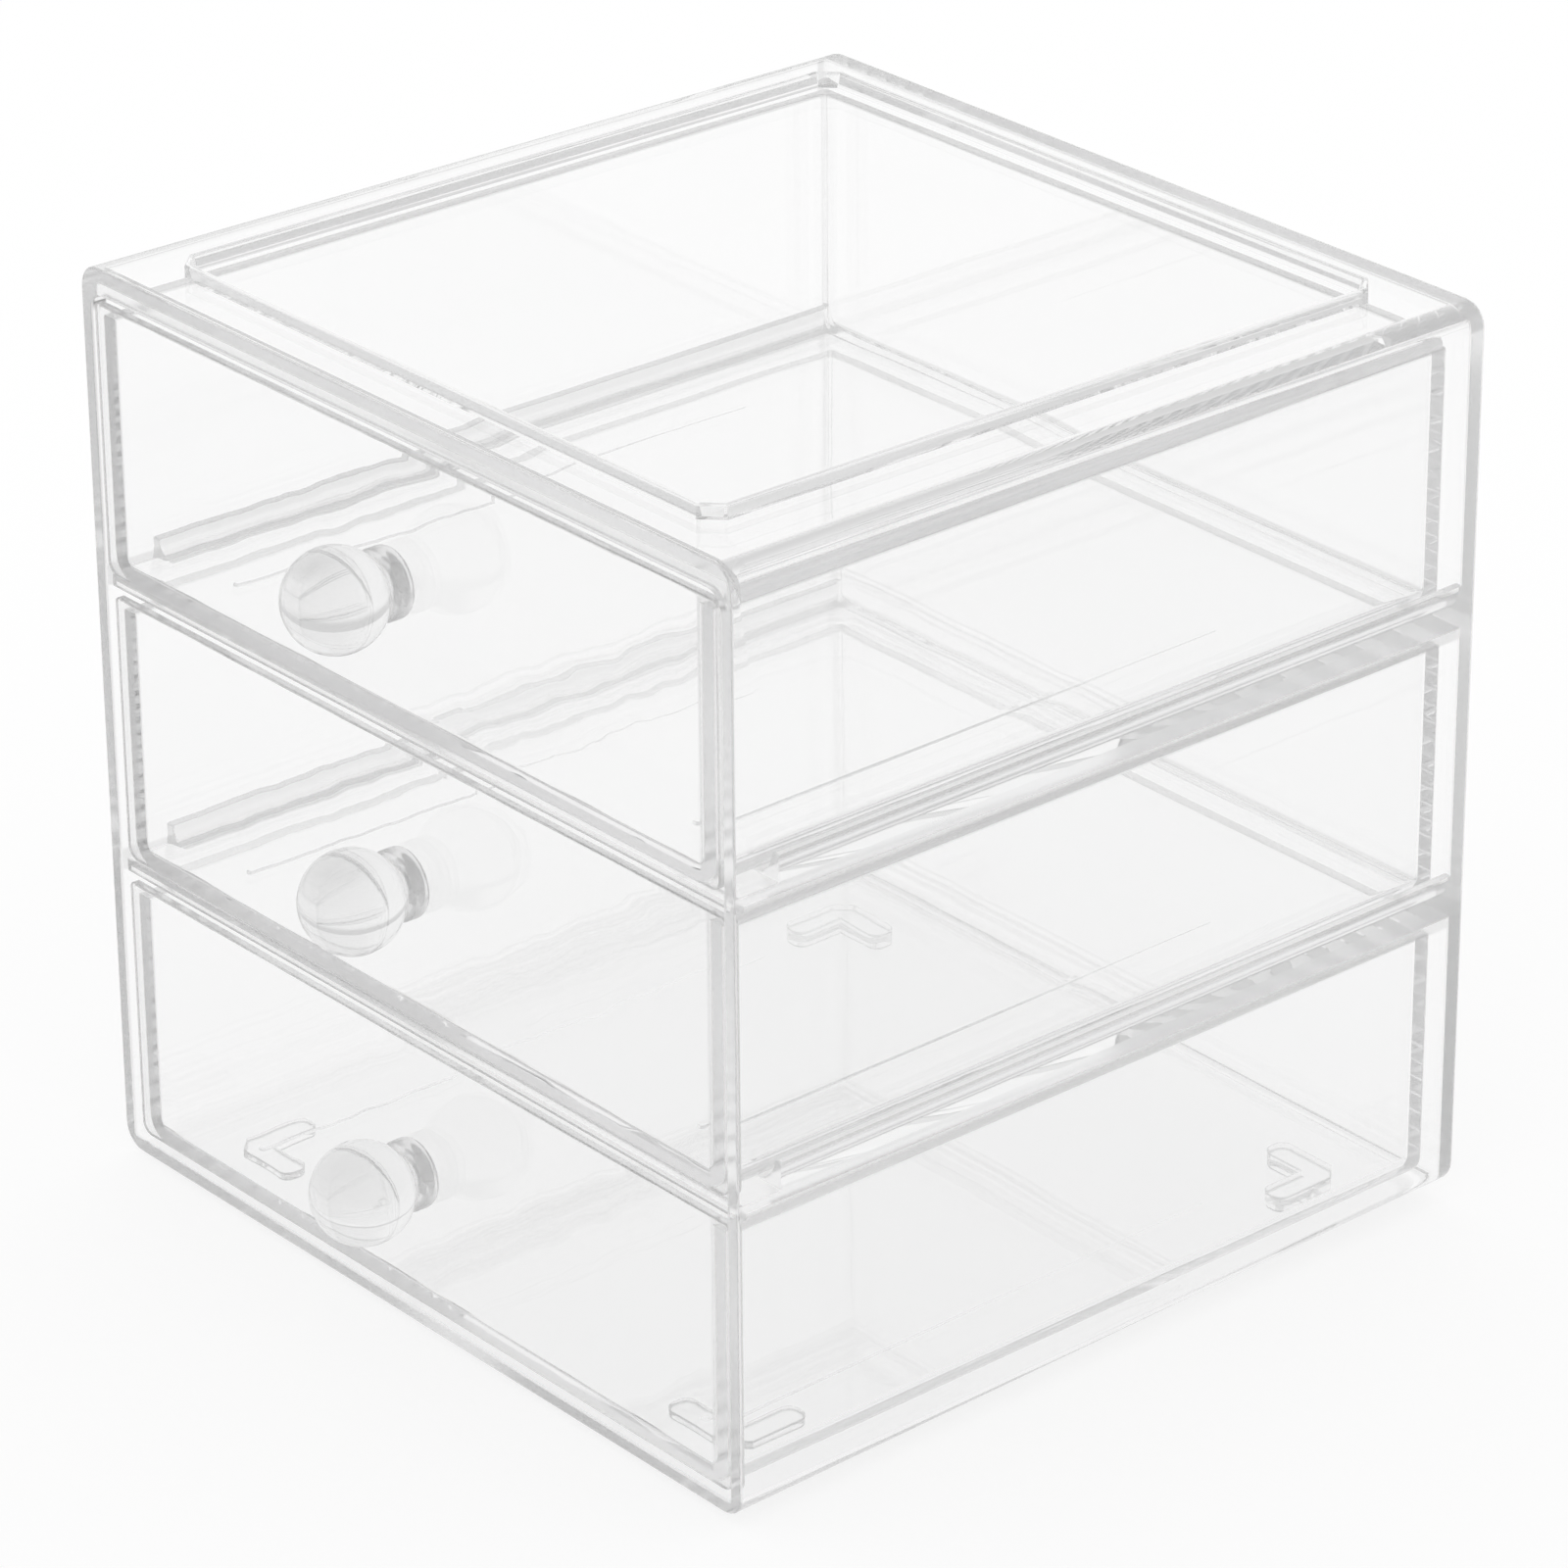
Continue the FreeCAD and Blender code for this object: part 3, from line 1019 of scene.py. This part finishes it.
class BuildFeet(bpy.types.Operator):
    """Builds the four clear corner feet"""

    bl_idname = "drawer_cube.feet"
    bl_label = "Feet"

    def execute(self, context):
        plastic = context.scene.clear_plastic
        waves = (plastic.small_wave, SMALL_WAVE_LENGTH)
        # The edges are dulled and darkened by painted shade, so each foot shows as a grey outline under
        # the clear case.
        materials = [
            clear_acrylic("moulded_acrylic_foot", plastic, plastic.polish, *waves),
            clear_acrylic(
                "moulded_acrylic_foot_edge_painted_shade", plastic, plastic.foot_polish, *waves, plastic.foot_edge_painted_shade
            ),
        ]
        for end, end_name in ((-1, "front"), (1, "back")):
            for side, side_name in ((-1, "left"), (1, "right")):
                corner = end_name + "_" + side_name
                mesh = foot_mesh(side, end, FOOT_EDGE_RADIUS)
                finish_faces(mesh, materials, foot_finish)
                place_piece("clear_foot_" + corner, mesh, CABINET, "foot_" + corner)
        return {"FINISHED"}


# ---------------------------------------------------------------- stage

FLOOR_SIZE = 60.0
# The floor lies a hair below the feet, so that the two surfaces stay apart.
FLOOR_DROP = 0.05 * MM
# How much of the floor's look is plain white where it is seen. The rest takes the shadow.
PLAIN_SHARE = 0.85
# The white backdrop stands behind the cube. The first pair says where it starts and ends to the
# sides, as parts of a direction, and the second pair where it fades out overhead.
BACKDROP_WAY = Vector((-0.765, 0.643, 0.0))
BACKDROP_SIDES = (0.1, 0.6)
BACKDROP_TOP = (0.5, 0.8)


def any_view_ray(tree, light_path):
    """1 for the rays that show the surroundings: seen directly, mirrored or through the plastic."""
    first = add_node(
        tree,
        "ShaderNodeMath",
        {"operation": "MAXIMUM"},
        links={0: light_path.outputs["Is Glossy Ray"], 1: light_path.outputs["Is Transmission Ray"]},
    )
    both = add_node(
        tree,
        "ShaderNodeMath",
        {"operation": "MAXIMUM"},
        links={0: light_path.outputs["Is Camera Ray"], 1: first.outputs[0]},
    )
    return both.outputs[0]


def ramp(tree, value, low, high, at_low, at_high):
    """Turns a value between low and high smoothly into one between at_low and at_high."""
    return add_node(
        tree,
        "ShaderNodeMapRange",
        {"interpolation_type": "SMOOTHSTEP"},
        {"From Min": low, "From Max": high, "To Min": at_low, "To Max": at_high},
        {"Value": value},
    ).outputs["Result"]


def studio_floor(settings):
    """A matt white sheet. It shows a soft shadow, and looks white in and through the plastic."""
    material = new_material("matt_white_sheet")
    tree = material.node_tree
    light_path = add_node(tree, "ShaderNodeLightPath")
    place = add_node(tree, "ShaderNodeNewGeometry")
    distance = add_node(
        tree, "ShaderNodeVectorMath", {"operation": "LENGTH"}, links={0: place.outputs["Position"]}
    )
    sheet = ramp(tree, distance.outputs["Value"], settings.near, settings.far, 1.0, settings.surround)
    seen_bright = add_node(
        tree,
        "ShaderNodeMath",
        {"operation": "MAXIMUM"},
        links={0: sheet, 1: light_path.outputs["Is Camera Ray"]},
    )
    shadowed = add_node(tree, "ShaderNodeBsdfDiffuse", inputs={"Color": linear("FFFFFF")})
    white = add_node(
        tree,
        "ShaderNodeEmission",
        inputs={"Color": linear("FFFFFF")},
        links={"Strength": seen_bright.outputs[0]},
    )
    share = add_node(
        tree,
        "ShaderNodeMath",
        {"operation": "MULTIPLY"},
        {1: PLAIN_SHARE},
        {0: any_view_ray(tree, light_path)},
    )
    both = add_node(
        tree,
        "ShaderNodeMixShader",
        links={0: share.outputs[0], 1: shadowed.outputs["BSDF"], 2: white.outputs["Emission"]},
    )
    add_node(tree, "ShaderNodeOutputMaterial", links={"Surface": both.outputs["Shader"]})
    return material


def studio_world(settings):
    """A soft even light. The plastic sees white behind the cube and a greyer room elsewhere."""
    world = bpy.data.worlds.new("studio")
    world.use_nodes = True
    tree = world.node_tree
    tree.nodes.clear()
    light_path = add_node(tree, "ShaderNodeLightPath")
    direction = add_node(tree, "ShaderNodeTexCoord").outputs["Generated"]
    towards = add_node(
        tree, "ShaderNodeVectorMath", {"operation": "DOT_PRODUCT"}, {1: BACKDROP_WAY}, {0: direction}
    )
    height = add_node(tree, "ShaderNodeSeparateXYZ", links={"Vector": direction})
    across = ramp(tree, towards.outputs["Value"], *BACKDROP_SIDES, 0.0, 1.0)
    below = ramp(tree, height.outputs["Z"], *BACKDROP_TOP, 1.0, 0.0)
    sheet = add_node(tree, "ShaderNodeMath", {"operation": "MULTIPLY"}, links={0: across, 1: below})
    seen = ramp(tree, sheet.outputs[0], 0.0, 1.0, settings.surround, 1.0)
    glossy = add_node(
        tree,
        "ShaderNodeMath",
        {"operation": "MAXIMUM"},
        links={0: light_path.outputs["Is Glossy Ray"], 1: light_path.outputs["Is Transmission Ray"]},
    )
    strength = add_node(
        tree, "ShaderNodeMix", inputs={"A": 1.0}, links={"Factor": glossy.outputs[0], "B": seen}
    )
    background = add_node(
        tree,
        "ShaderNodeBackground",
        inputs={"Color": linear("FFFFFF")},
        links={"Strength": strength.outputs[0]},
    )
    add_node(tree, "ShaderNodeOutputWorld", links={"Surface": background.outputs["Background"]})
    return world


def add_camera():
    back = Vector((
        math.sin(CAMERA_AZIMUTH) * math.cos(CAMERA_ELEVATION),
        -math.cos(CAMERA_AZIMUTH) * math.cos(CAMERA_ELEVATION),
        math.sin(CAMERA_ELEVATION),
    ))
    level = Vector((math.cos(CAMERA_AZIMUTH), math.sin(CAMERA_AZIMUTH), 0.0))
    upright = back.cross(level)
    right = level * math.cos(CAMERA_ROLL) + upright * math.sin(CAMERA_ROLL)
    up = upright * math.cos(CAMERA_ROLL) - level * math.sin(CAMERA_ROLL)
    lens = bpy.data.cameras.new("camera")
    lens.lens = CAMERA_LENS
    lens.sensor_width = CAMERA_SENSOR
    camera = bpy.data.objects.new("camera", lens)
    turned = Matrix((right, up, back)).transposed().to_4x4()
    camera.matrix_world = Matrix.Translation(CAMERA_PLACE) @ turned
    bpy.context.scene.collection.objects.link(camera)
    bpy.context.scene.camera = camera


class BuildStage(bpy.types.Operator):
    """Lays the white floor and sets the light and the camera"""

    bl_idname = "drawer_cube.stage"
    bl_label = "Stage"

    def execute(self, context):
        scene = context.scene
        settings = scene.studio
        half = FLOOR_SIZE / 2.0
        outline = ((-half, -half), (half, -half), (half, half), (-half, half))
        corners = [(x, y, -FLOOR_DROP) for x, y in outline]
        mesh = bpy.data.meshes.new("floor")
        mesh.from_pydata(corners, [], [(0, 1, 2, 3)])
        mesh.materials.append(studio_floor(settings))
        floor = bpy.data.objects.new("floor", mesh)
        scene.collection.objects.link(floor)
        scene.world = studio_world(settings)
        add_camera()
        scene.view_settings.view_transform = "Standard"
        scene.cycles.max_bounces = LIGHT_BOUNCES
        scene.cycles.transmission_bounces = LIGHT_BOUNCES
        scene.cycles.glossy_bounces = LIGHT_BOUNCES
        return {"FINISHED"}


class DrawerCubePanel(bpy.types.Panel):
    """Lists the pieces and their settings in the sidebar"""

    bl_idname = "VIEW3D_PT_drawer_cube"
    bl_label = "Drawer cube"
    bl_space_type = "VIEW_3D"
    bl_region_type = "UI"
    bl_category = "Drawer cube"

    def draw(self, context):
        layout = self.layout
        for settings in [getattr(context.scene, name) for name in SETTINGS]:
            box = layout.box()
            for name in type(settings).__annotations__:
                box.prop(settings, name)
        for operator in OPERATORS:
            layout.operator(operator.bl_idname)


SETTINGS = {"edges": EdgeSettings, "clear_plastic": ClearPlasticSettings, "studio": StudioSettings}
OPERATORS = (BuildCase, BuildDrawers, BuildKnobs, BuildFeet, BuildStage)


def register():
    for group in SETTINGS.values():
        bpy.utils.register_class(group)
    for name, group in SETTINGS.items():
        setattr(bpy.types.Scene, name, bpy.props.PointerProperty(type=group))
    for each in OPERATORS + (DrawerCubePanel,):
        bpy.utils.register_class(each)


def unregister():
    for each in reversed(OPERATORS + (DrawerCubePanel,)):
        bpy.utils.unregister_class(each)
    for name in SETTINGS:
        delattr(bpy.types.Scene, name)
    for group in reversed(tuple(SETTINGS.values())):
        bpy.utils.unregister_class(group)


def main():
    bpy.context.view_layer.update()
    register()
    for operator in OPERATORS:
        group, name = operator.bl_idname.split(".")
        getattr(getattr(bpy.ops, group), name)()


if __name__ == "__main__":
    main()
